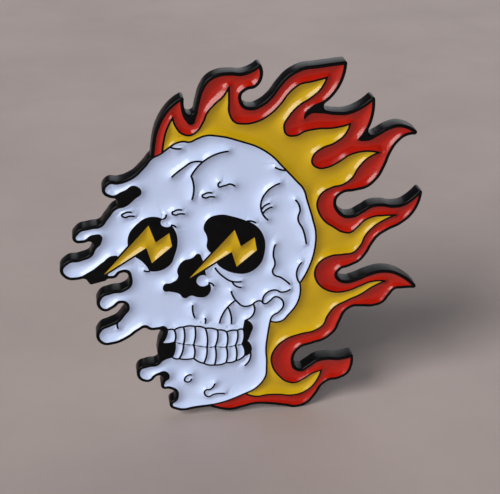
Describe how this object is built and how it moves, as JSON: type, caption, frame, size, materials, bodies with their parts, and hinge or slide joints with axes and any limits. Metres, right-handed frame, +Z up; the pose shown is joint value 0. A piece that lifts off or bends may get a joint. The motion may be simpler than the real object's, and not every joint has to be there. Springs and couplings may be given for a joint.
{
  "type": "enamel pin",
  "caption": "Soft-enamel lapel pin: a melting skull in flames with bolts in its eyes, raised black lines, posts on the back and sprung butterfly clutches that slide off.",
  "frame": {"origin": "on the flat back face, in the middle of the artwork", "axes": "+Y out of the back face along the posts, so the face looks along -Y; +Z up the artwork; +X to the right for someone looking at the face"},
  "size_m": [0.0403, 0.013, 0.043],
  "materials": {
    "black_plating": "semi-gloss black plating",
    "white_enamel": "glossy, cool white",
    "yellow_enamel": "glossy, golden yellow",
    "red_enamel": "glossy, fire red",
    "post_steel": "bright drawn wire",
    "clutch_brass": "bright stamped sheet",
    "spring_steel": "bright spring wire"
  },
  "bodies": {
    "pin": {"struck_plate": "black_plating", "skull_face": "white_enamel", "jaw": "white_enamel", "yellow_fire": "yellow_enamel", "red_fire": "red_enamel", "bolt_left": "yellow_enamel", "bolt_right": "yellow_enamel", "upper_tooth_1": "white_enamel", "upper_tooth_2": "white_enamel", "upper_tooth_3": "white_enamel", "upper_tooth_4": "white_enamel", "upper_tooth_5": "white_enamel", "upper_tooth_6": "white_enamel", "upper_tooth_7": "white_enamel", "upper_tooth_8": "white_enamel", "lower_tooth_1": "white_enamel", "lower_tooth_2": "white_enamel", "lower_tooth_3": "white_enamel", "lower_tooth_4": "white_enamel", "lower_tooth_5": "white_enamel", "lower_tooth_6": "white_enamel", "lower_tooth_7": "white_enamel", "left_post": "post_steel", "right_post": "post_steel"},
    "left_clutch": {"left_clutch_cup": "clutch_brass", "left_clutch_cap": "clutch_brass", "left_clutch_spring": "spring_steel"},
    "left_inner_wing": {"left_clutch_inner_wing": "clutch_brass"},
    "left_outer_wing": {"left_clutch_outer_wing": "clutch_brass"},
    "right_clutch": {"right_clutch_cup": "clutch_brass", "right_clutch_cap": "clutch_brass", "right_clutch_spring": "spring_steel"},
    "right_inner_wing": {"right_clutch_inner_wing": "clutch_brass"},
    "right_outer_wing": {"right_clutch_outer_wing": "clutch_brass"}
  },
  "joints": [
    {"name": "left_clutch_slide", "type": "slide", "parent": "pin", "child": "left_clutch", "axis": [0, 1, 0], "range_m": [-0.0042, 0.012]},
    {"name": "left_inner_wing_pinch", "type": "slide", "parent": "left_clutch", "child": "left_inner_wing", "axis": [-1, 0, 0], "range_m": [0, 0.0007], "stiffness_N_per_m": 3000},
    {"name": "left_outer_wing_pinch", "type": "slide", "parent": "left_clutch", "child": "left_outer_wing", "axis": [1, 0, 0], "range_m": [0, 0.0007], "stiffness_N_per_m": 3000},
    {"name": "right_clutch_slide", "type": "slide", "parent": "pin", "child": "right_clutch", "axis": [0, 1, 0], "range_m": [-0.0042, 0.012]},
    {"name": "right_inner_wing_pinch", "type": "slide", "parent": "right_clutch", "child": "right_inner_wing", "axis": [1, 0, 0], "range_m": [0, 0.0007], "stiffness_N_per_m": 3000},
    {"name": "right_outer_wing_pinch", "type": "slide", "parent": "right_clutch", "child": "right_outer_wing", "axis": [-1, 0, 0], "range_m": [0, 0.0007], "stiffness_N_per_m": 3000}
  ],
  "couplings": [
    {"joint": "left_outer_wing_pinch", "follows": "left_inner_wing_pinch", "ratio": 1},
    {"joint": "right_outer_wing_pinch", "follows": "right_inner_wing_pinch", "ratio": 1}
  ]
}
